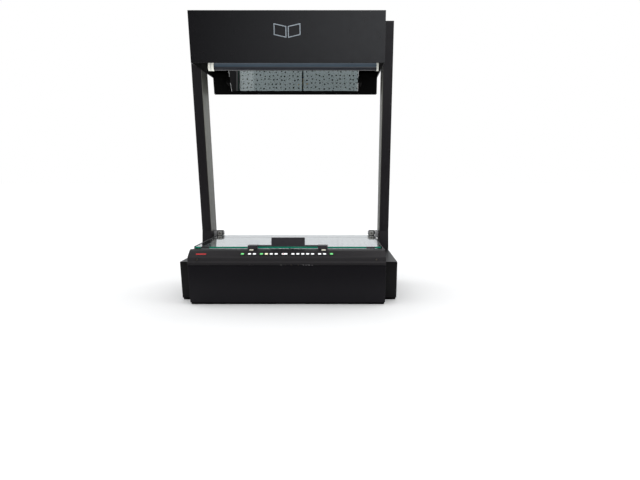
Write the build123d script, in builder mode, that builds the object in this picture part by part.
from build123d import *
from math import atan, cos, pi, radians, sin, tan
import os

# Overhead book scanner: a low black base with a button console, a see-saw book cradle under a
# hinged glass plate, two leaning side arms, and a wide head that holds the lamp, the scan
# mirror and the camera.
# Millimetres. +Z is up, the front faces -Y, +X is to the right. The origin lies on the
# supporting surface, below the middle of the bounding box.

# ---------------------------------------------------------------- driving dimensions
WIDTH = 873.0          # over the side covers and the arms
BODY_WIDTH = 765.0     # console, front panel, deck and head
DEPTH = 660.0          # console ridge to the flange of the power inlet
LEAN = 16.5            # degrees: fronts of base and head, and both arms
WALL = 3.0             # sheet and moulding thickness

FOOT_HEIGHT = 8.0
LEDGE_TOP = 161.0      # top of the side covers, which the arms stand on
CONSOLE_TOP = 216.5
DECK_TOP = 213.0
CONSOLE_DEPTH = 64.0
REAR_PLANE = DEPTH - 3.0

GLASS_WIDTH = 735.0
GLASS_FRONT = 64.0
GLASS_REAR = 543.0
GLASS_UNDER = 219.5
GLASS_THICK = 6.0
HINGE_DEPTH = 562.0    # hinge axis of the glass, behind the front
HINGE_HEIGHT = 236.0

ARM_INNER = 392.5      # half of the clear width between the arms
ARM_DEPTH = 120.0
ARM_FRONT = 504.0      # front of the arm at its foot
FOOT_TOP = 248.0

HEAD_TOP = 1143.0      # front top edge of the head
HEAD_UNDER = 951.0     # front bottom edge of the head
HEAD_RISE = 5.0        # degrees that the top rises to the rear
RIDGE_DEPTH = 455.0    # where the top turns down to the rear
HOOD_TOP = (488.0, 963.0)    # where the hood's front face meets the underside of the head
HOOD_LIP = (516.0, 892.0)    # lowest edge of the hood
HOOD_REAR = 636.0
HOOD_RISE = 20.0             # the hood's underside rises this much to the rear

CRADLE_TOP = 207.5     # upper face of the cradle plates at rest
CRADLE_HALF = 364.0
CRADLE_FRONT = 78.0
CRADLE_REAR = 532.0
SPINE_GAP = 8.0
PLATE_SLIDE = 9.0      # outward travel of each plate, for a thick spine
SEESAW_TRAVEL = 10.0   # up and down travel of each plate

PINION_MODULE = 2.5
PINION_TEETH = 24
PINION_HEIGHT = 120.0  # axis above the supporting surface
PINION_FRONT = 296.0
PINION_FACE = 16.0
BACKLASH = 0.5

MIRROR_DEPTH = 424.5   # pivot of the scan mirror
MIRROR_HEIGHT = 940.5
MIRROR_TILT = 45.0     # degrees that its face looks down from level
MIRROR_SPAN = 117.0
MIRROR_HALF = 291.5

LAMP_DEPTH = 358.0     # pivot of the light bar
LAMP_HEIGHT = 991.0
LAMP_RADIUS = 17.0
LAMP_AIM = 26.0        # degrees that the parked lamp looks to the rear
LAMP_LEFT_CAP = 30.0   # lengths of the two end caps
LAMP_RIGHT_CAP = 7.0

CAMERA_DEPTH = 150.0   # mouth of the camera's lens mount
CAMERA_HEIGHT = 1050.0
CAMERA_AIM = 22.0      # degrees that it looks down to the rear, under the lamp to the mirror

BUTTON_WIDTH = 14.5
WIDE_BUTTON = 25.0
BUTTON_HEIGHT = 11.5
BUTTON_GAP = 4.5
GROUP_GAP = 12.8
BUTTON_GROUPS = (1, 2, 4, 0, 5, 2, 1)    # 0 stands for the single wide button
BUTTON_PROUD = 1.8

# ---------------------------------------------------------------- derived values
FRONT = -DEPTH / 2
HALF = WIDTH / 2
BODY_HALF = BODY_WIDTH / 2
SLOPE = tan(radians(LEAN))
GLASS_HALF = GLASS_WIDTH / 2
RISE = tan(radians(HEAD_RISE))
HEAD_LOW_FRONT = (HEAD_TOP - HEAD_UNDER) * SLOPE
RIDGE = (RIDGE_DEPTH, HEAD_TOP + RIDGE_DEPTH * RISE)
HOOD_BEND = (HOOD_REAR, RIDGE[1] - (HOOD_REAR - RIDGE_DEPTH))
HOOD_LOW_REAR = (HOOD_REAR, HOOD_LIP[1] + HOOD_RISE)
INSIDE = BODY_HALF - WALL
PITCH_RADIUS = PINION_MODULE * PINION_TEETH / 2
PIN_RADIUS = 6.0
RUNNING = 0.08         # radial play of a shaft in its bush

# The console's button face is one flat facet; the keys stand square to it.
FACET_LOW = (5.5, 193.5)
FACET_HIGH = (32.0, 210.0)
FACET_RUN = Vector(0, FACET_HIGH[0] - FACET_LOW[0], FACET_HIGH[1] - FACET_LOW[1]).normalized()
FACET_PLANE = Plane(
    origin=(0, FRONT + (FACET_LOW[0] + FACET_HIGH[0]) / 2, (FACET_LOW[1] + FACET_HIGH[1]) / 2),
    x_dir=(1, 0, 0),
    z_dir=(0, -FACET_RUN.Z, FACET_RUN.Y),
)

os.makedirs("parts", exist_ok=True)


# ---------------------------------------------------------------- helpers
def keep(builder, name):
    """Label a finished piece and write it to its own file."""
    builder.part.label = name
    export_step(builder.part, f"parts/{name}.step")


def side_view(points):
    """Points given as (distance behind the front, height), in the plane of the side view."""
    return [(FRONT + depth, height) for depth, height in points]


def sheet_outline(path, thickness):
    """Closed outline of a bent sheet whose outer face is path, with the metal on its left."""
    inner = []
    for i, point in enumerate(path):
        before = Vector(*point) - Vector(*path[i - 1]) if i else None
        after = Vector(*path[i + 1]) - Vector(*point) if i + 1 < len(path) else None
        before = (before or after).normalized()
        after = (after or before).normalized()
        normal_before = Vector(-before.Y, before.X)
        normal_after = Vector(-after.Y, after.X)
        middle = (normal_before + normal_after).normalized()
        reach = thickness / middle.dot(normal_before)
        corner = Vector(*point) + middle * reach
        inner.append((corner.X, corner.Y))
    return list(path) + inner[::-1]


def slab_between(points, low, high, mode=Mode.ADD):
    """Extrude a side outline from x = low to x = high inside the current part."""
    with BuildSketch(Plane.YZ.offset(low)) as outline:
        with BuildLine():
            Polyline(*side_view(points), close=True)
        make_face()
    extrude(outline.sketch, amount=high - low, mode=mode)


def carve_between(points, low, high):
    """Cut a side outline from x = low to x = high out of the current part."""
    slab_between(points, low, high, mode=Mode.SUBTRACT)


def block(low, high, mode=Mode.ADD):
    """Box between two corners; the second number of each is its distance behind the front."""
    size = [b - a for a, b in zip(low, high)]
    middle = [(a + b) / 2 for a, b in zip(low, high)]
    with Locations((middle[0], FRONT + middle[1], middle[2])):
        Box(*size, mode=mode)


def cross_rod(depth, height, low, high, radius, mode=Mode.ADD):
    """Cylinder along X from x = low to x = high."""
    with BuildSketch(Plane.YZ.offset(low)) as section:
        with Locations((FRONT + depth, height)):
            Circle(radius)
    extrude(section.sketch, amount=high - low, mode=mode)


# ---------------------------------------------------------------- base
FRONT_FACE = [(4.0, LEDGE_TOP), (4.0 + (LEDGE_TOP - FOOT_HEIGHT) * SLOPE, FOOT_HEIGHT)]
SIDE_FRONT = [(99.0, LEDGE_TOP), (99.0 + (LEDGE_TOP - FOOT_HEIGHT) * SLOPE, FOOT_HEIGHT)]
TRAY_FLOOR = FOOT_HEIGHT + WALL
FEET = ((-330, 95), (330, 95), (-395, 610), (395, 610))
ROD_PLACES = ((-200, 170), (-200, 440), (200, 170), (200, 440))
ROD_RADIUS = 8.0


def make_base_tray():
    """Folded floor pan with low flanges and the two posts that carry the pinion shaft."""
    front = FRONT_FACE[1][0] + WALL + 1.0
    flange = 16.0
    with BuildPart() as base_tray:
        block((-INSIDE + 1, front, FOOT_HEIGHT), (INSIDE - 1, REAR_PLANE - WALL - 1, TRAY_FLOOR))
        block(
            (-HALF + WALL + 1, SIDE_FRONT[1][0] + WALL + 1, FOOT_HEIGHT),
            (HALF - WALL - 1, REAR_PLANE - WALL - 1, TRAY_FLOOR),
        )
        block(
            (-HALF + WALL + 1, REAR_PLANE - 2 * WALL - 1, FOOT_HEIGHT),
            (HALF - WALL - 1, REAR_PLANE - WALL - 1, FOOT_HEIGHT + flange),
        )
        for post_front in (PINION_FRONT - 36, PINION_FRONT + PINION_FACE + 24):
            block((-24, post_front, TRAY_FLOOR), (24, post_front + 12, PINION_HEIGHT + 16))
        with BuildSketch(Plane.XZ.offset(-(FRONT + 200))):
            with Locations((0, PINION_HEIGHT)):
                Circle(PIN_RADIUS + RUNNING)
        extrude(amount=-200, mode=Mode.SUBTRACT)
        for x, depth in ROD_PLACES:
            block((x - 20, depth - 20, TRAY_FLOOR), (x + 20, depth + 20, TRAY_FLOOR + 9))
            with Locations((x, FRONT + depth, TRAY_FLOOR + 10)):
                Cylinder(ROD_RADIUS, 20, mode=Mode.SUBTRACT)
        for x, depth in FEET:
            with Locations((x, FRONT + depth, FOOT_HEIGHT)):
                Cylinder(3.0, 20, mode=Mode.SUBTRACT)
    keep(base_tray, "base_tray")


def make_front_panel():
    """Leaning front sheet with its two returns to the side covers."""
    back = 40.0
    lap = 4.0      # how far the returns reach behind the side covers' front edges
    outer = [
        FRONT_FACE[0],
        FRONT_FACE[1],
        (SIDE_FRONT[1][0] + lap, FOOT_HEIGHT),
        (SIDE_FRONT[0][0] + lap, LEDGE_TOP),
    ]
    shift = WALL / cos(radians(LEAN))
    inner = [
        (FRONT_FACE[0][0] + shift, LEDGE_TOP + 1),
        (FRONT_FACE[1][0] + shift, FOOT_HEIGHT - 1),
        (SIDE_FRONT[1][0] + back, FOOT_HEIGHT - 1),
        (SIDE_FRONT[1][0] + back, LEDGE_TOP + 1),
    ]
    with BuildPart() as front_panel:
        slab_between(outer, -BODY_HALF, BODY_HALF)
        carve_between(inner, -INSIDE, INSIDE)
    keep(front_panel, "front_panel")


def make_side_cover(side, name):
    """Cover of one side wing, open towards the inside; its top is the ledge for the arm."""
    rear = REAR_PLANE - WALL
    outer = [SIDE_FRONT[0], SIDE_FRONT[1], (rear, FOOT_HEIGHT), (rear, LEDGE_TOP)]
    shift = WALL / cos(radians(LEAN))
    inner = [
        (SIDE_FRONT[0][0] + shift, LEDGE_TOP - WALL),
        (SIDE_FRONT[1][0] + shift, FOOT_HEIGHT - 1),
        (REAR_PLANE, FOOT_HEIGHT - 1),
        (REAR_PLANE, LEDGE_TOP - WALL),
    ]
    near, far = sorted((side * (BODY_HALF + 0.5), side * HALF))
    hollow_near, hollow_far = sorted((side * (BODY_HALF - 1), side * (HALF - WALL)))
    with BuildPart() as cover:
        slab_between(outer, near, far)
        carve_between(inner, hollow_near, hollow_far)
        long_edges = cover.edges().filter_by(Axis.Y).filter_by(lambda e: abs(e.center().X) > HALF - 0.1)
        fillet(long_edges.sort_by(Axis.Z)[-1], 1.5)
    keep(cover, name)


def make_deck_frame():
    """Box frame round the book cradle: the dark deck and its side walls."""
    with BuildPart() as deck_frame:
        block((-BODY_HALF, CONSOLE_DEPTH + 0.5, LEDGE_TOP), (BODY_HALF, REAR_PLANE - WALL, DECK_TOP))
        block(
            (-INSIDE, CONSOLE_DEPTH - 1, LEDGE_TOP - 1),
            (INSIDE, REAR_PLANE - 2 * WALL, DECK_TOP - WALL),
            mode=Mode.SUBTRACT,
        )
        block(
            (-CRADLE_HALF - PLATE_SLIDE - 1, CRADLE_FRONT - 4, LEDGE_TOP),
            (CRADLE_HALF + PLATE_SLIDE + 1, CRADLE_REAR + 4, DECK_TOP + 1),
            mode=Mode.SUBTRACT,
        )
    keep(deck_frame, "deck_frame")


REAR_SCREWS = [(x, z) for x in (-415, -140, 140, 415) for z in (30, 140)]
INLET_PLACE = (250.0, 60.0)
PORT_PLACES = (-320.0, -296.0, -272.0, -240.0)
SCREW_HOLE = 2.0


def make_rear_cover():
    """Rear sheet with the inlet cut-out, the sockets' windows, air slots and screw holes."""
    low, high = REAR_PLANE - WALL, REAR_PLANE
    with BuildPart() as rear_cover:
        block((-HALF, low, FOOT_HEIGHT), (HALF, high, LEDGE_TOP))
        block((-BODY_HALF, low, LEDGE_TOP - 1), (BODY_HALF, high, DECK_TOP))
        x, z = INLET_PLACE
        block((x - 24.5, low - 1, z - 14.5), (x + 24.5, high + 1, z + 14.5), mode=Mode.SUBTRACT)
        block((x - 24.5, low - 1, z + 24), (x - 3.5, high + 1, z + 39), mode=Mode.SUBTRACT)
        for port in PORT_PLACES:
            block((port - 8, low - 1, 40), (port + 8, high + 1, 53), mode=Mode.SUBTRACT)
        for slot in range(12):
            left = -84 + slot * 14
            block((left, low - 1, 60), (left + 5, high + 1, 130), mode=Mode.SUBTRACT)
        for x, z in REAR_SCREWS:
            with Locations(Location((x, FRONT + high, z), (90, 0, 0))):
                Cylinder(SCREW_HOLE, 4 * WALL, mode=Mode.SUBTRACT)
    keep(rear_cover, "rear_cover")


def make_rubber_feet():
    """Four round feet, each with a stem that presses into the floor pan."""
    with BuildPart() as rubber_feet:
        for x, depth in FEET:
            with Locations((x, FRONT + depth, FOOT_HEIGHT / 2)):
                Cylinder(19.0, FOOT_HEIGHT)
            with Locations((x, FRONT + depth, FOOT_HEIGHT + 2)):
                Cylinder(3.0, 6.0)
        rims = rubber_feet.edges().filter_by(GeomType.CIRCLE).filter_by(lambda e: e.center().Z < 0.1)
        fillet(rims, 2.0)
    keep(rubber_feet, "rubber_feet")


def make_power_supply():
    """Closed supply box on the floor pan, with its row of screw terminals."""
    with BuildPart() as power_supply:
        block((90, 548, TRAY_FLOOR), (215, 640, TRAY_FLOOR + 55))
        vertical = power_supply.edges().filter_by(Axis.Z)
        fillet(vertical, 2.0)
        block((100, 540, TRAY_FLOOR + 8), (180, 549, TRAY_FLOOR + 24))
        for terminal in range(7):
            x = 106 + terminal * 11
            block((x - 1, 539, TRAY_FLOOR + 7), (x + 1, 543, TRAY_FLOOR + 25), mode=Mode.SUBTRACT)
    keep(power_supply, "power_supply")


def make_controller_board():
    """Main circuit board on standoffs, with its larger components and the rear sockets."""
    top = TRAY_FLOOR + 17.6
    with BuildPart() as controller_board:
        block((-350, 552, TRAY_FLOOR + 16), (-150, 648, top))
        for x in (-342, -158):
            for depth in (560, 640):
                with Locations((x, FRONT + depth, TRAY_FLOOR + 8)):
                    Cylinder(3.0, 16)
        block((-310, 575, top), (-270, 615, top + 6))
        block((-250, 580, top), (-225, 605, top + 3))
        block((-215, 570, top), (-170, 585, top + 9))
        for port in PORT_PLACES:
            block((port - 7, 634, top), (port + 7, REAR_PLANE - WALL, top + 11))
    keep(controller_board, "controller_board")


def make_power_inlet():
    """Appliance inlet with its flange outside the rear cover and three flat pins."""
    x, z = INLET_PLACE
    back, face = REAR_PLANE - 26, DEPTH
    with BuildPart() as power_inlet:
        block((x - 24, back, z - 14), (x + 24, REAR_PLANE, z + 14))
        block((x - 28, REAR_PLANE, z - 18), (x + 28, face, z + 42))
        block((x - 12, REAR_PLANE - 20, z - 8), (x + 12, face + 1, z + 8), mode=Mode.SUBTRACT)
        block((x - 24.5, REAR_PLANE - 1, z + 24), (x - 3.5, face + 1, z + 39), mode=Mode.SUBTRACT)
        for pin_x, pin_z in ((-7, -2), (0, 3), (7, -2)):
            low = (x + pin_x - 1, back + 4, z + pin_z - 2.5)
            high = (x + pin_x + 1, REAR_PLANE - 3, z + pin_z + 2.5)
            block(low, high)
    keep(power_inlet, "power_inlet")


ROCKER_X = INLET_PLACE[0] - 14
ROCKER_Z = INLET_PLACE[1] + 31.5


def make_power_rocker():
    """Rocker of the mains switch; it turns on an axis along X behind the flange."""
    half = 9.8
    with BuildPart() as power_rocker:
        with BuildSketch(Plane.YZ.offset(ROCKER_X - half)):
            with BuildLine():
                Polyline(
                    (FRONT + DEPTH - 1.8, ROCKER_Z + 5.6),
                    (FRONT + DEPTH - 13.0, ROCKER_Z + 4.6),
                    (FRONT + DEPTH - 13.0, ROCKER_Z - 4.6),
                    (FRONT + DEPTH - 0.4, ROCKER_Z - 5.6),
                    (FRONT + DEPTH - 2.4, ROCKER_Z),
                    close=True,
                )
            make_face()
        extrude(amount=2 * half)
    keep(power_rocker, "power_rocker")


# ---------------------------------------------------------------- console
def button_row():
    """(centre x, width) of each key, from left to right."""
    keys = []
    cursor = 0.0
    for group in BUTTON_GROUPS:
        widths = [BUTTON_WIDTH] * group if group else [WIDE_BUTTON]
        for width in widths:
            keys.append((cursor + width / 2, width))
            cursor += width + BUTTON_GAP
        cursor += GROUP_GAP - BUTTON_GAP
    length = cursor - GROUP_GAP
    return [(x - length / 2, width) for x, width in keys]


CONSOLE_SCREWS = ((-346.0, 183.0), (346.0, 183.0))


def make_console_housing():
    """Hollow profile across the front: ridge, upright band, button facet and crowned top."""
    with BuildPart() as console_housing:
        with BuildSketch(Plane.YZ.offset(-BODY_HALF)):
            with BuildLine():
                Polyline(
                    (FRONT + CONSOLE_DEPTH, CONSOLE_TOP),
                    (FRONT + CONSOLE_DEPTH, LEDGE_TOP + 1),
                    (FRONT + 2, LEDGE_TOP + 1),
                    (FRONT, LEDGE_TOP + 3.5),
                    (FRONT, 172),
                    (FRONT + 4, 175.5),
                    (FRONT + 4, 190.5),
                    (FRONT + FACET_LOW[0], FACET_LOW[1]),
                    (FRONT + FACET_HIGH[0], FACET_HIGH[1]),
                )
                TangentArc(
                    (FRONT + FACET_HIGH[0], FACET_HIGH[1]),
                    (FRONT + CONSOLE_DEPTH, CONSOLE_TOP),
                    tangent=(FACET_RUN.Y, FACET_RUN.Z),
                )
            make_face()
        extrude(amount=BODY_WIDTH)
        inner = [
            (CONSOLE_DEPTH - WALL, CONSOLE_TOP - WALL - 0.6),
            (CONSOLE_DEPTH - WALL, LEDGE_TOP),
            (4 + WALL, LEDGE_TOP),
            (4 + WALL, 189.5),
            (FACET_LOW[0] + 2.6, FACET_LOW[1] - 2.2),
            (FACET_HIGH[0] + 1.5, FACET_HIGH[1] - 2.9),
        ]
        carve_between(inner, -INSIDE, INSIDE)
        with BuildSketch(FACET_PLANE):
            for x, width in button_row():
                with Locations((x, 0)):
                    RectangleRounded(width + 1.0, BUTTON_HEIGHT + 1.0, 1.8)
        extrude(amount=-5, mode=Mode.SUBTRACT)
        for x, z in CONSOLE_SCREWS:
            with Locations(Location((x, FRONT + 4, z), (90, 0, 0))):
                Cylinder(SCREW_HOLE, 10, mode=Mode.SUBTRACT)
    keep(console_housing, "console_housing")


def make_button_board():
    """Narrow circuit board under the keys, on brackets from the console's rear wall."""
    with BuildPart() as button_board:
        with BuildSketch(FACET_PLANE.offset(-11)):
            Rectangle(385, 24)
        extrude(amount=1.6)
        for x in (-186, 186):
            block((x - 4, 30, 194.0), (x + 4, CONSOLE_DEPTH - WALL, 197.0))
    keep(button_board, "button_board")


def make_buttons():
    """One key per function; each has a flange that stops it behind the console's wall."""
    for number, (x, width) in enumerate(button_row(), start=1):
        with BuildPart() as button:
            with BuildSketch(FACET_PLANE.offset(-5.6)):
                with Locations((x, 0)):
                    Rectangle(width + 2.4, BUTTON_HEIGHT + 3)
            extrude(amount=1.2)
            with BuildSketch(FACET_PLANE.offset(-4.6)):
                with Locations((x, 0)):
                    RectangleRounded(width, BUTTON_HEIGHT, 1.4)
            extrude(amount=4.6 + BUTTON_PROUD)
            crown = button.faces().sort_by(lambda f: f.center().dot(FACET_PLANE.z_dir))[-1]
            fillet(crown.edges(), 0.9)
            with BuildSketch(FACET_PLANE.offset(-7.4)):
                with Locations((x, 0)):
                    Circle(2.0)
            extrude(amount=2.4)
        keep(button, f"console_button_{number:02d}")


# ---------------------------------------------------------------- cradle
def make_guide_rods():
    """Four upright steel rods that the two lift tables slide on."""
    with BuildPart() as guide_rods:
        for x, depth in ROD_PLACES:
            with Locations((x, FRONT + depth, TRAY_FLOOR)):
                Cylinder(ROD_RADIUS, 158, align=(Align.CENTER, Align.CENTER, Align.MIN))
        tops = guide_rods.edges().filter_by(GeomType.CIRCLE).group_by(Axis.Z)[-1]
        chamfer(tops, 1.0)
    keep(guide_rods, "guide_rods")


PRESSURE_ANGLE = 20.0
TIP_RELIEF = 0.3


def gear_outline():
    """Involute outline of the balance pinion, as a closed list of points round its axis."""
    base = PITCH_RADIUS * cos(radians(PRESSURE_ANGLE))
    tip = PITCH_RADIUS + PINION_MODULE - TIP_RELIEF
    root = PITCH_RADIUS - 1.25 * PINION_MODULE
    involute_pitch = (PITCH_RADIUS ** 2 - base ** 2) ** 0.5 / base
    pitch_angle = involute_pitch - radians(PRESSURE_ANGLE)
    half_tooth = (pi * PINION_MODULE / 2 - BACKLASH) / (2 * PITCH_RADIUS)
    flank = []
    for step in range(5):
        radius = max(base, root) + (tip - max(base, root)) * step / 4
        roll = max((radius ** 2 - base ** 2), 0.0) ** 0.5 / base
        angle = roll - atan(roll)
        flank.append((radius, half_tooth + pitch_angle - angle))
    points = []
    for tooth in range(PINION_TEETH):
        centre = 2 * pi * tooth / PINION_TEETH
        points.append((root, centre - flank[0][1] - 0.01))
        points += [(radius, centre - angle) for radius, angle in flank]
        points += [(radius, centre + angle) for radius, angle in flank[::-1]]
        points.append((root, centre + flank[0][1] + 0.01))
    return [(radius * cos(angle), radius * sin(angle)) for radius, angle in points]


def make_balance_pinion():
    """Toothed wheel on its cross shaft: one rack goes up as the other goes down."""
    middle = FRONT + PINION_FRONT
    with BuildPart() as balance_pinion:
        with BuildSketch(Plane.XZ.offset(-middle)):
            with Locations((0, PINION_HEIGHT)):
                with BuildLine():
                    Polyline(*[(x, z + PINION_HEIGHT) for x, z in gear_outline()], close=True)
            make_face()
        extrude(amount=-PINION_FACE)
        with BuildSketch(Plane.XZ.offset(-(middle - 40))):
            with Locations((0, PINION_HEIGHT)):
                Circle(PIN_RADIUS)
        extrude(amount=-(PINION_FACE + 80))
        with BuildSketch(Plane.XZ.offset(-middle)):
            with Locations((0, PINION_HEIGHT)):
                with PolarLocations(17, 5):
                    Circle(4.5)
        extrude(amount=-PINION_FACE, mode=Mode.SUBTRACT)
    keep(balance_pinion, "balance_pinion")


def rack_teeth(side):
    """Points of a rack's toothed edge, from low to high; the teeth point at the pinion."""
    pitch = pi * PINION_MODULE
    line = side * PITCH_RADIUS
    slant = tan(radians(20))
    add, dedend = PINION_MODULE - 0.3, 1.25 * PINION_MODULE
    half = (pitch / 2 - BACKLASH) / 2
    points = []
    for tooth in range(-5, 6):
        centre = PINION_HEIGHT + (tooth + 0.5) * pitch
        root_half, tip_half = half + dedend * slant, half - add * slant
        points.append((line + side * dedend, centre - root_half))
        points.append((line - side * add, centre - tip_half))
        points.append((line - side * add, centre + tip_half))
        points.append((line + side * dedend, centre + root_half))
    return points


def make_lift_table(side, name):
    """Table under one cradle plate: guide sleeves, slide rails and the balancing rack."""
    low, high = sorted((side * 70, side * 330))
    top = CRADLE_TOP - WALL - 0.2
    with BuildPart() as table:
        block((low, 110, 176), (high, 500, 180))
        for depth in (136, 460):
            block((low, depth, 179), (high, depth + 14, top))
        for x, depth in ROD_PLACES:
            if x * side > 0:
                with Locations((x, FRONT + depth, 153)):
                    Cylinder(15, 46)
                with Locations((x, FRONT + depth, 160)):
                    Cylinder(ROD_RADIUS + RUNNING, 90, mode=Mode.SUBTRACT)
        back = side * (PITCH_RADIUS + 14)
        teeth = rack_teeth(side)
        with BuildSketch(Plane.XZ.offset(-(FRONT + PINION_FRONT + 2))):
            with BuildLine():
                Polyline(
                    (back, teeth[0][1] - 3),
                    (teeth[0][0], teeth[0][1] - 3),
                    *teeth,
                    (teeth[-1][0], 176),
                    (back, 176),
                    close=True,
                )
            make_face()
        extrude(amount=-(PINION_FACE - 4))
        arm_low, arm_high = sorted((side * (PITCH_RADIUS + 3.2), side * 72))
        block((arm_low, PINION_FRONT - 10, 174), (arm_high, PINION_FRONT + PINION_FACE + 10, 180))
    keep(table, name)


def make_cradle_plate(side, name):
    """Book support: a flat sheet with a turned-down rim, standing on the table's rails."""
    low, high = sorted((side * SPINE_GAP / 2, side * CRADLE_HALF))
    with BuildPart() as plate:
        block((low, CRADLE_FRONT, CRADLE_TOP - 15), (high, CRADLE_REAR, CRADLE_TOP))
        fillet(plate.edges().filter_by(Axis.Z), 4.0)
        block(
            (low + WALL, CRADLE_FRONT + WALL, CRADLE_TOP - 16),
            (high - WALL, CRADLE_REAR - WALL, CRADLE_TOP - WALL),
            mode=Mode.SUBTRACT,
        )
        rim = plate.edges().group_by(Axis.Z)[-1]
        fillet(rim, 1.0)
    keep(plate, name)


# ---------------------------------------------------------------- glass
def make_glass_plate():
    """Flat plate of clear glass with ground edges."""
    with BuildPart() as glass_plate:
        block(
            (-GLASS_HALF, GLASS_FRONT, GLASS_UNDER),
            (GLASS_HALF, GLASS_REAR, GLASS_UNDER + GLASS_THICK),
        )
        fillet(glass_plate.edges().filter_by(Axis.Z), 4.0)
        chamfer(glass_plate.edges().group_by(Axis.Z)[-1], 1.0)
        chamfer(glass_plate.edges().group_by(Axis.Z)[0], 0.6)
    keep(glass_plate, "glass_plate")


def make_glass_side_arms():
    """Mirrored pair: a slim angle along each side of the glass that ends in the hinge knuckle."""
    glass_top = GLASS_UNDER + GLASS_THICK
    arm_start = GLASS_FRONT + 8
    arm_under = CRADLE_TOP + SEESAW_TRAVEL + 0.5
    web = [
        (arm_start, arm_under),
        (arm_start, glass_top + 1),
        (HINGE_DEPTH - 34, glass_top + 1),
        (HINGE_DEPTH - 12, HINGE_HEIGHT + 9),
        (HINGE_DEPTH, HINGE_HEIGHT + 9),
        (HINGE_DEPTH, HINGE_HEIGHT - 9),
        (HINGE_DEPTH - 14, arm_under),
    ]
    with BuildPart() as glass_side_arms:
        for side in (-1, 1):
            low, high = sorted((side * GLASS_HALF, side * (GLASS_HALF + 5)))
            slab_between(web, low, high)
            low, high = sorted((side * (GLASS_HALF - 7), side * (GLASS_HALF + 1)))
            block((low, arm_start, arm_under), (high, GLASS_REAR - 4, GLASS_UNDER))
            low, high = sorted((side * (GLASS_HALF - 20), side * (GLASS_HALF + 8)))
            cross_rod(HINGE_DEPTH, HINGE_HEIGHT, low, high, 12)
            low, high = sorted((side * (GLASS_HALF - 20), side * (GLASS_HALF + 1)))
            block((low, GLASS_REAR - 20, glass_top), (high, HINGE_DEPTH, HINGE_HEIGHT + 9))
        cross_rod(HINGE_DEPTH, HINGE_HEIGHT, -HALF, HALF, PIN_RADIUS + RUNNING, mode=Mode.SUBTRACT)
    keep(glass_side_arms, "glass_side_arms")


def make_hinge_brackets():
    """Mirrored pair of bearing plates on the inner faces of the arm feet."""
    with BuildPart() as hinge_brackets:
        for side in (-1, 1):
            low, high = sorted((side * (GLASS_HALF + 10), side * ARM_INNER))
            cross_rod(HINGE_DEPTH, HINGE_HEIGHT, low, high, 13)
            block((low, HINGE_DEPTH - 13, DECK_TOP + 0.5), (high, HINGE_DEPTH + 13, HINGE_HEIGHT))
        cross_rod(HINGE_DEPTH, HINGE_HEIGHT, -HALF, HALF, PIN_RADIUS, mode=Mode.SUBTRACT)
    keep(hinge_brackets, "hinge_brackets")


def make_hinge_pins():
    """Two identical headed pins, one for each hinge of the glass."""
    with BuildPart() as hinge_pins:
        for side in (-1, 1):
            low, high = sorted((side * (GLASS_HALF - 21), side * ARM_INNER))
            cross_rod(HINGE_DEPTH, HINGE_HEIGHT, low, high, PIN_RADIUS)
            low, high = sorted((side * (GLASS_HALF - 25), side * (GLASS_HALF - 20.5)))
            cross_rod(HINGE_DEPTH, HINGE_HEIGHT, low, high, 10)
        heads = hinge_pins.edges().filter_by(GeomType.CIRCLE)
        heads = heads.filter_by(lambda e: abs(abs(e.center().X) - GLASS_HALF + 25) < 0.1)
        chamfer(heads, 1.2)
    keep(hinge_pins, "hinge_pins")


HANDLE_HALF = 157.0
TAB_HALF = 66.5
TAB_TOP = 261.0


def make_glass_handle():
    """Grip of the glass: a flat bar along its front edge with an upright tab."""
    top = GLASS_UNDER + GLASS_THICK
    with BuildPart() as glass_handle:
        block((-HANDLE_HALF, GLASS_FRONT + 3, top), (HANDLE_HALF, GLASS_FRONT + 19, top + 5))
        block((-TAB_HALF, GLASS_FRONT + 7, top + 4), (TAB_HALF, GLASS_FRONT + 11, TAB_TOP))
        tips = glass_handle.edges().filter_by(Axis.Y).filter_by(lambda e: e.center().Z > TAB_TOP - 1)
        fillet(tips, 3.0)
    keep(glass_handle, "glass_handle")


def make_handle_clamps():
    """Two identical clamps that hold the bar to the glass and meet the console's plates."""
    top = GLASS_UNDER + GLASS_THICK + 6.5
    with BuildPart() as handle_clamps:
        for centre in (-138.0, 138.0):
            low, high = centre - 19, centre + 19
            block((low, GLASS_FRONT - 16, CONSOLE_TOP + 0.9), (high, GLASS_FRONT, top))
            block((low, GLASS_FRONT - 1, top - 1.5), (high, GLASS_FRONT + 19, top))
        upper = handle_clamps.edges().filter_by(Axis.X).group_by(Axis.Z)[-1]
        fillet(upper.sort_by(Axis.Y)[0:2], 2.5)
    keep(handle_clamps, "handle_clamps")


# ---------------------------------------------------------------- arms
def arm_line(height):
    """Distance of the arm's front edge behind the front, at a height above its foot."""
    return ARM_FRONT - (height - FOOT_TOP) * SLOPE


def arm_outline(inset):
    """Side outline of the leaning arm, drawn in by inset at its front and rear edges."""
    top = (HEAD_TOP + ARM_FRONT * RISE + FOOT_TOP * SLOPE * RISE) / (1 + SLOPE * RISE)
    rear_top = top + ARM_DEPTH * RISE / (1 + SLOPE * RISE)
    return [
        (ARM_FRONT + inset, FOOT_TOP),
        (ARM_FRONT + ARM_DEPTH - inset, FOOT_TOP),
        (arm_line(rear_top) + ARM_DEPTH - inset, rear_top),
        (arm_line(top) + inset, top),
    ]


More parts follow.
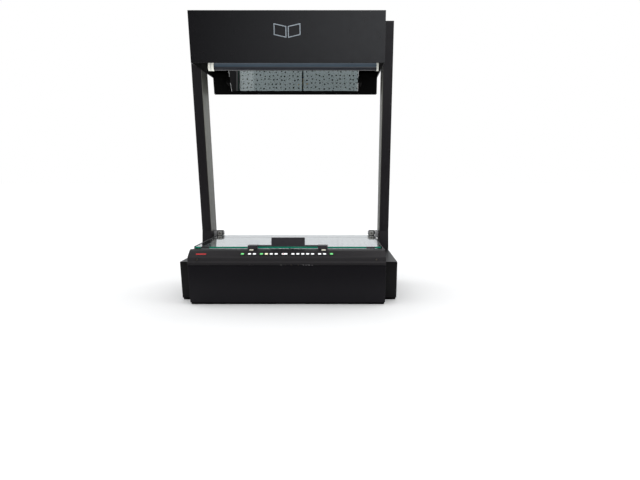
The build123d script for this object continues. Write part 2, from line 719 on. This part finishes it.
def make_arm_feet():
    """Mirrored pair of hollow feet that carry the arms on the ledges of the side covers."""
    with BuildPart() as arm_feet:
        for side in (-1, 1):
            low, high = sorted((side * ARM_INNER, side * HALF))
            block((low, ARM_FRONT, LEDGE_TOP), (high, ARM_FRONT + ARM_DEPTH, FOOT_TOP))
        fillet(arm_feet.edges().filter_by(Axis.Z), 2.0)
        for side in (-1, 1):
            low, high = sorted((side * (ARM_INNER + 8), side * (HALF - 8)))
            block(
                (low, ARM_FRONT + 10, LEDGE_TOP - 1),
                (high, ARM_FRONT + ARM_DEPTH - 10, FOOT_TOP - 12),
                mode=Mode.SUBTRACT,
            )
    keep(arm_feet, "arm_feet")


def make_arm(side, name):
    """Outer channel of one arm, open towards the inside, where the liner closes it."""
    low, high = sorted((side * (ARM_INNER + 2.5), side * HALF))
    hollow_low, hollow_high = sorted((side * ARM_INNER, side * (HALF - WALL)))
    with BuildPart() as arm:
        slab_between(arm_outline(0), low, high)
        outer = arm.edges().filter_by(lambda e: abs(abs(e.center().X) - HALF) < 0.01 and e.length > 800)
        fillet(outer, 2.5)
        inner = arm_outline(WALL)
        inner[0] = (inner[0][0] - 12 * SLOPE, FOOT_TOP + 12)
        inner[1] = (inner[1][0] - 12 * SLOPE, FOOT_TOP + 12)
        inner[2] = (inner[2][0] + 12 * SLOPE, inner[2][1] - 12)
        inner[3] = (inner[3][0] + 12 * SLOPE, inner[3][1] - 12)
        carve_between(inner, hollow_low, hollow_high)
    keep(arm, name)


def make_arm_liner(side, name):
    """Inner plate of one arm, with a fine groove along its length."""
    low, high = sorted((side * ARM_INNER, side * (ARM_INNER + 2.5)))
    groove_low, groove_high = sorted((side * (ARM_INNER - 1), side * (ARM_INNER + 0.8)))
    outline = arm_outline(0)
    start = ARM_DEPTH * 0.32
    groove = [
        (outline[0][0] + start, FOOT_TOP - 1),
        (outline[0][0] + start + 2, FOOT_TOP - 1),
        (outline[3][0] + start + 2 - 20 * SLOPE, outline[3][1] + 20),
        (outline[3][0] + start - 20 * SLOPE, outline[3][1] + 20),
    ]
    with BuildPart() as liner:
        slab_between(outline, low, high)
        carve_between(groove, groove_low, groove_high)
    keep(liner, name)


# ---------------------------------------------------------------- head
SHEET_SHIFT = WALL / cos(radians(LEAN))


def make_head_front_panel():
    """Flat leaning front of the head, across its whole width."""
    outline = [
        (0.0, HEAD_TOP),
        (HEAD_LOW_FRONT, HEAD_UNDER),
        (HEAD_LOW_FRONT + SHEET_SHIFT, HEAD_UNDER),
        (SHEET_SHIFT, HEAD_TOP + SHEET_SHIFT * RISE),
    ]
    with BuildPart() as head_front_panel:
        slab_between(outline, -BODY_HALF, BODY_HALF)
    keep(head_front_panel, "head_front_panel")


def make_head_cheek(side, name):
    """Side plate of the head; the spacer on its outer face bolts to the arm."""
    outline = [
        (SHEET_SHIFT + 0.2, HEAD_TOP + SHEET_SHIFT * RISE),
        (HEAD_LOW_FRONT + SHEET_SHIFT + 0.2, HEAD_UNDER),
        HOOD_TOP,
        HOOD_LIP,
        HOOD_LOW_REAR,
        HOOD_BEND,
        RIDGE,
    ]
    low, high = sorted((side * INSIDE, side * BODY_HALF))
    spacer_low, spacer_high = sorted((side * BODY_HALF, side * ARM_INNER))
    middle_height = 1060.0
    centre = arm_line(middle_height) + ARM_DEPTH / 2
    spacer = [
        (centre - 38 + 60 * SLOPE, middle_height - 60),
        (centre + 38 + 60 * SLOPE, middle_height - 60),
        (centre + 38 - 60 * SLOPE, middle_height + 60),
        (centre - 38 - 60 * SLOPE, middle_height + 60),
    ]
    with BuildPart() as cheek:
        slab_between(outline, low, high)
        slab_between(spacer, spacer_low, spacer_high)
        pivot_low, pivot_high = sorted((side * (INSIDE - 1), side * (BODY_HALF + 1)))
        cross_rod(LAMP_DEPTH, LAMP_HEIGHT, pivot_low, pivot_high, 4 + RUNNING, mode=Mode.SUBTRACT)
    keep(cheek, name)


def make_head_top_cover():
    """Flat top sheet between the cheeks, rising a little to the rear."""
    front = SHEET_SHIFT + WALL / 2
    rear = RIDGE_DEPTH - WALL - 0.3
    path = [(rear, HEAD_TOP + rear * RISE), (front, HEAD_TOP + front * RISE)]
    with BuildPart() as head_top_cover:
        slab_between(sheet_outline(path, WALL), -INSIDE, INSIDE)
    keep(head_top_cover, "head_top_cover")


HOOD_SCREWS = [(x, z) for x in (-350, 0, 350) for z in (928, 982)]


def make_rear_hood():
    """Folded rear of the head: front face, rising underside, upright rear and sloping back."""
    path = [
        (HOOD_TOP[0], HOOD_TOP[1] + 22),
        HOOD_TOP,
        HOOD_LIP,
        HOOD_LOW_REAR,
        HOOD_BEND,
        RIDGE,
        (RIDGE[0] - WALL, RIDGE[1] - WALL * RISE),
    ]
    with BuildPart() as rear_hood:
        slab_between(sheet_outline(path, WALL), -INSIDE, INSIDE)
        for x, z in HOOD_SCREWS:
            with Locations(Location((x, FRONT + HOOD_REAR, z), (90, 0, 0))):
                Cylinder(SCREW_HOLE, 4 * WALL, mode=Mode.SUBTRACT)
    keep(rear_hood, "rear_hood")


def hood_face(height, proud):
    """Point that stands proud of the hood's front face at a height."""
    across = Vector(HOOD_LIP[0] - HOOD_TOP[0], HOOD_LIP[1] - HOOD_TOP[1]).normalized()
    depth = HOOD_TOP[0] + (height - HOOD_TOP[1]) * across.X / across.Y
    return (depth + across.Y * proud, height - across.X * proud)


BRACKET_GAP = 8.0      # from the mirror's end to the bracket
BRACKET_THICK = 8.0


def make_mirror_brackets():
    """Mirrored pair of lugs on the hood's front face that hold the mirror's pivots."""
    lug = [
        (MIRROR_DEPTH - 13, MIRROR_HEIGHT + 8),
        (MIRROR_DEPTH - 13, MIRROR_HEIGHT - 8),
        (MIRROR_DEPTH - 6, MIRROR_HEIGHT - 13),
        hood_face(924, 0.05),
        hood_face(955, 0.05),
        (MIRROR_DEPTH - 6, MIRROR_HEIGHT + 13),
    ]
    flange = [hood_face(920, 0.05), hood_face(958, 0.05), hood_face(958, 3), hood_face(920, 3)]
    inner = MIRROR_HALF + BRACKET_GAP
    with BuildPart() as mirror_brackets:
        for side in (-1, 1):
            low, high = sorted((side * inner, side * (inner + BRACKET_THICK)))
            slab_between(lug, low, high)
            low, high = sorted((side * inner, side * (inner + 4 * BRACKET_THICK)))
            slab_between(flange, low, high)
        cross_rod(MIRROR_DEPTH, MIRROR_HEIGHT, -HALF, HALF, 4 + RUNNING, mode=Mode.SUBTRACT)
    keep(mirror_brackets, "mirror_brackets")


FLOOR_START = (HEAD_LOW_FRONT + SHEET_SHIFT + 1, HEAD_UNDER + 4)
FLOOR_END = (225.0, 989.0)


def floor_height(depth):
    """Height inside the head floor's sheet at a distance behind the front."""
    climb = (FLOOR_END[1] - FLOOR_START[1]) / (FLOOR_END[0] - FLOOR_START[0])
    return FLOOR_START[1] + (depth - FLOOR_START[0]) * climb + 1.0


def make_head_floor():
    """Inner tray of the head, rising from the front panel's foot; it carries the camera."""
    path = [FLOOR_START, FLOOR_END, (FLOOR_END[0] + 6, FLOOR_END[1] + 6)]
    with BuildPart() as head_floor:
        slab_between(sheet_outline(path, WALL), -INSIDE, INSIDE)
        foot = [
            (CAMERA_DEPTH - 75, CAMERA_HEIGHT - 46),
            (CAMERA_DEPTH - 75, floor_height(CAMERA_DEPTH - 75)),
            (CAMERA_DEPTH - 5, floor_height(CAMERA_DEPTH - 5)),
            (CAMERA_DEPTH - 5, CAMERA_HEIGHT - 46),
        ]
        slab_between(foot, -40, 40)
    keep(head_floor, "head_floor")


CAMERA_PLANE = Plane(
    origin=(0, FRONT + CAMERA_DEPTH, CAMERA_HEIGHT),
    x_dir=(1, 0, 0),
    z_dir=(0, cos(radians(CAMERA_AIM)), -sin(radians(CAMERA_AIM))),
)


def make_camera_module():
    """Line camera: a finned housing with its lens mount towards the scan mirror."""
    with BuildPart() as camera_module:
        block(
            (-46, CAMERA_DEPTH - 90, CAMERA_HEIGHT - 46),
            (46, CAMERA_DEPTH - 12, CAMERA_HEIGHT + 34),
        )
        for fin in range(7):
            depth = CAMERA_DEPTH - 84 + fin * 10
            for x in (-47, 40):
                low = (x, depth, CAMERA_HEIGHT - 30)
                high = (x + 7, depth + 5, CAMERA_HEIGHT + 20)
                block(low, high, mode=Mode.SUBTRACT)
        with BuildSketch(CAMERA_PLANE.offset(-30)):
            Circle(26)
        extrude(amount=30)
        with BuildSketch(CAMERA_PLANE.offset(-20)):
            Circle(18)
        extrude(amount=21, mode=Mode.SUBTRACT)
    keep(camera_module, "camera_module")


def make_camera_lens():
    """Stepped lens barrel with a hollow front, seated in the camera's mount."""
    with BuildPart() as camera_lens:
        with BuildSketch(CAMERA_PLANE.offset(-20)):
            Circle(18)
        extrude(amount=45)
        with BuildSketch(CAMERA_PLANE.offset(4)):
            Circle(24)
        extrude(amount=22)
        with BuildSketch(CAMERA_PLANE.offset(20)):
            Circle(17)
        extrude(amount=10, mode=Mode.SUBTRACT)
    keep(camera_lens, "camera_lens")


MIRROR_PLANE = Plane(
    origin=(0, FRONT + MIRROR_DEPTH, MIRROR_HEIGHT),
    x_dir=(1, 0, 0),
    z_dir=(0, -cos(radians(MIRROR_TILT)), -sin(radians(MIRROR_TILT))),
)


def make_scan_mirror():
    """Front-silvered strip of glass, let into its carrier."""
    with BuildPart() as scan_mirror:
        with BuildSketch(MIRROR_PLANE):
            Rectangle(2 * MIRROR_HALF, MIRROR_SPAN)
        extrude(amount=5)
        silvered = scan_mirror.faces().sort_by(lambda f: f.center().dot(MIRROR_PLANE.z_dir))[-1]
        chamfer(silvered.edges(), 0.8)
    keep(scan_mirror, "scan_mirror")


def make_mirror_carrier():
    """Ribbed carrier behind the mirror, with a pivot stub at each end."""
    with BuildPart() as mirror_carrier:
        with BuildSketch(MIRROR_PLANE.offset(-6)):
            Rectangle(2 * MIRROR_HALF + 8, MIRROR_SPAN - 4)
        extrude(amount=6)
        with BuildSketch(MIRROR_PLANE.offset(-18)):
            with GridLocations(0, 44, 1, 2):
                Rectangle(2 * MIRROR_HALF, 5)
            Rectangle(2 * MIRROR_HALF + 8, 12)
        extrude(amount=13)
        for side in (-1, 1):
            low, high = sorted((side * (MIRROR_HALF - 2), side * (MIRROR_HALF + BRACKET_GAP - 2)))
            cross_rod(MIRROR_DEPTH, MIRROR_HEIGHT, low, high, 10)
            tip = MIRROR_HALF + BRACKET_GAP + BRACKET_THICK + 2
            low, high = sorted((side * MIRROR_HALF, side * tip))
            cross_rod(MIRROR_DEPTH, MIRROR_HEIGHT, low, high, 4)
        with BuildSketch(MIRROR_PLANE):
            Rectangle(2 * MIRROR_HALF, MIRROR_SPAN)
        extrude(amount=5, mode=Mode.SUBTRACT)
    keep(mirror_carrier, "mirror_carrier")


LAMP_HALF = INSIDE - 1.0
TUBE_LOW = LAMP_LEFT_CAP - LAMP_HALF
TUBE_HIGH = LAMP_HALF - LAMP_RIGHT_CAP


def lamp_plane(x):
    """Plane across the lamp at x, with its second axis pointing away from the lit side."""
    return Plane(
        origin=(x, FRONT + LAMP_DEPTH, LAMP_HEIGHT),
        x_dir=(0, cos(radians(LAMP_AIM)), sin(radians(LAMP_AIM))),
        z_dir=(1, 0, 0),
    )


def make_light_bar():
    """Glass tube of the lamp."""
    with BuildPart() as light_bar:
        with BuildSketch(lamp_plane(TUBE_LOW)):
            Circle(LAMP_RADIUS)
            Circle(LAMP_RADIUS - 2.5, mode=Mode.SUBTRACT)
        extrude(amount=TUBE_HIGH - TUBE_LOW)
    keep(light_bar, "light_bar")


def make_lamp_housing():
    """Ribbed light carrier inside the tube, with the two end caps and their pivot stubs."""
    with BuildPart() as lamp_housing:
        with BuildSketch(lamp_plane(TUBE_LOW)):
            with Locations((0, 3)):
                Rectangle(24, 4)
            with GridLocations(6, 0, 4, 1):
                with Locations((0, 6.5)):
                    Rectangle(2, 4)
        extrude(amount=TUBE_HIGH - TUBE_LOW)
        for side, cap in ((-1, LAMP_LEFT_CAP), (1, LAMP_RIGHT_CAP)):
            low, high = sorted((side * LAMP_HALF, side * (LAMP_HALF - cap)))
            cross_rod(LAMP_DEPTH, LAMP_HEIGHT, low, high, LAMP_RADIUS + 1)
            low, high = sorted((side * (LAMP_HALF - 1), side * (BODY_HALF - 0.2)))
            cross_rod(LAMP_DEPTH, LAMP_HEIGHT, low, high, 4)
    keep(lamp_housing, "lamp_housing")


# ---------------------------------------------------------------- fasteners
def make_cover_screws():
    """Identical pan-head screws of the console, the rear cover and the hood."""
    places = [(x, 4.0, z, 1) for x, z in CONSOLE_SCREWS]
    places += [(x, REAR_PLANE, z, -1) for x, z in REAR_SCREWS]
    places += [(x, HOOD_REAR, z, -1) for x, z in HOOD_SCREWS]
    with BuildPart() as cover_screws:
        for x, depth, z, inward in places:
            face = Plane(origin=(x, FRONT + depth, z), x_dir=(1, 0, 0), z_dir=(0, -inward, 0))
            with BuildSketch(face):
                Circle(3.6)
            extrude(amount=2.0)
            with BuildSketch(face.offset(-5.0)):
                Circle(SCREW_HOLE - 0.1)
            extrude(amount=6.0)
            with BuildSketch(face.offset(1.0)):
                RegularPolygon(1.6, 6)
            extrude(amount=2.0, mode=Mode.SUBTRACT)
    keep(cover_screws, "cover_screws")


make_base_tray()
make_front_panel()
make_side_cover(-1, "side_cover_left")
make_side_cover(1, "side_cover_right")
make_deck_frame()
make_rear_cover()
make_rubber_feet()
make_power_supply()
make_controller_board()
make_power_inlet()
make_power_rocker()
make_console_housing()
make_button_board()
make_buttons()
make_guide_rods()
make_balance_pinion()
make_lift_table(-1, "lift_table_left")
make_lift_table(1, "lift_table_right")
make_cradle_plate(-1, "cradle_plate_left")
make_cradle_plate(1, "cradle_plate_right")
make_glass_plate()
make_glass_side_arms()
make_hinge_brackets()
make_hinge_pins()
make_glass_handle()
make_handle_clamps()
make_arm_feet()
make_arm(-1, "arm_left")
make_arm(1, "arm_right")
make_arm_liner(-1, "arm_liner_left")
make_arm_liner(1, "arm_liner_right")
make_head_front_panel()
make_head_cheek(-1, "head_cheek_left")
make_head_cheek(1, "head_cheek_right")
make_head_top_cover()
make_rear_hood()
make_mirror_brackets()
make_head_floor()
make_camera_module()
make_camera_lens()
make_scan_mirror()
make_mirror_carrier()
make_light_bar()
make_lamp_housing()
make_cover_screws()
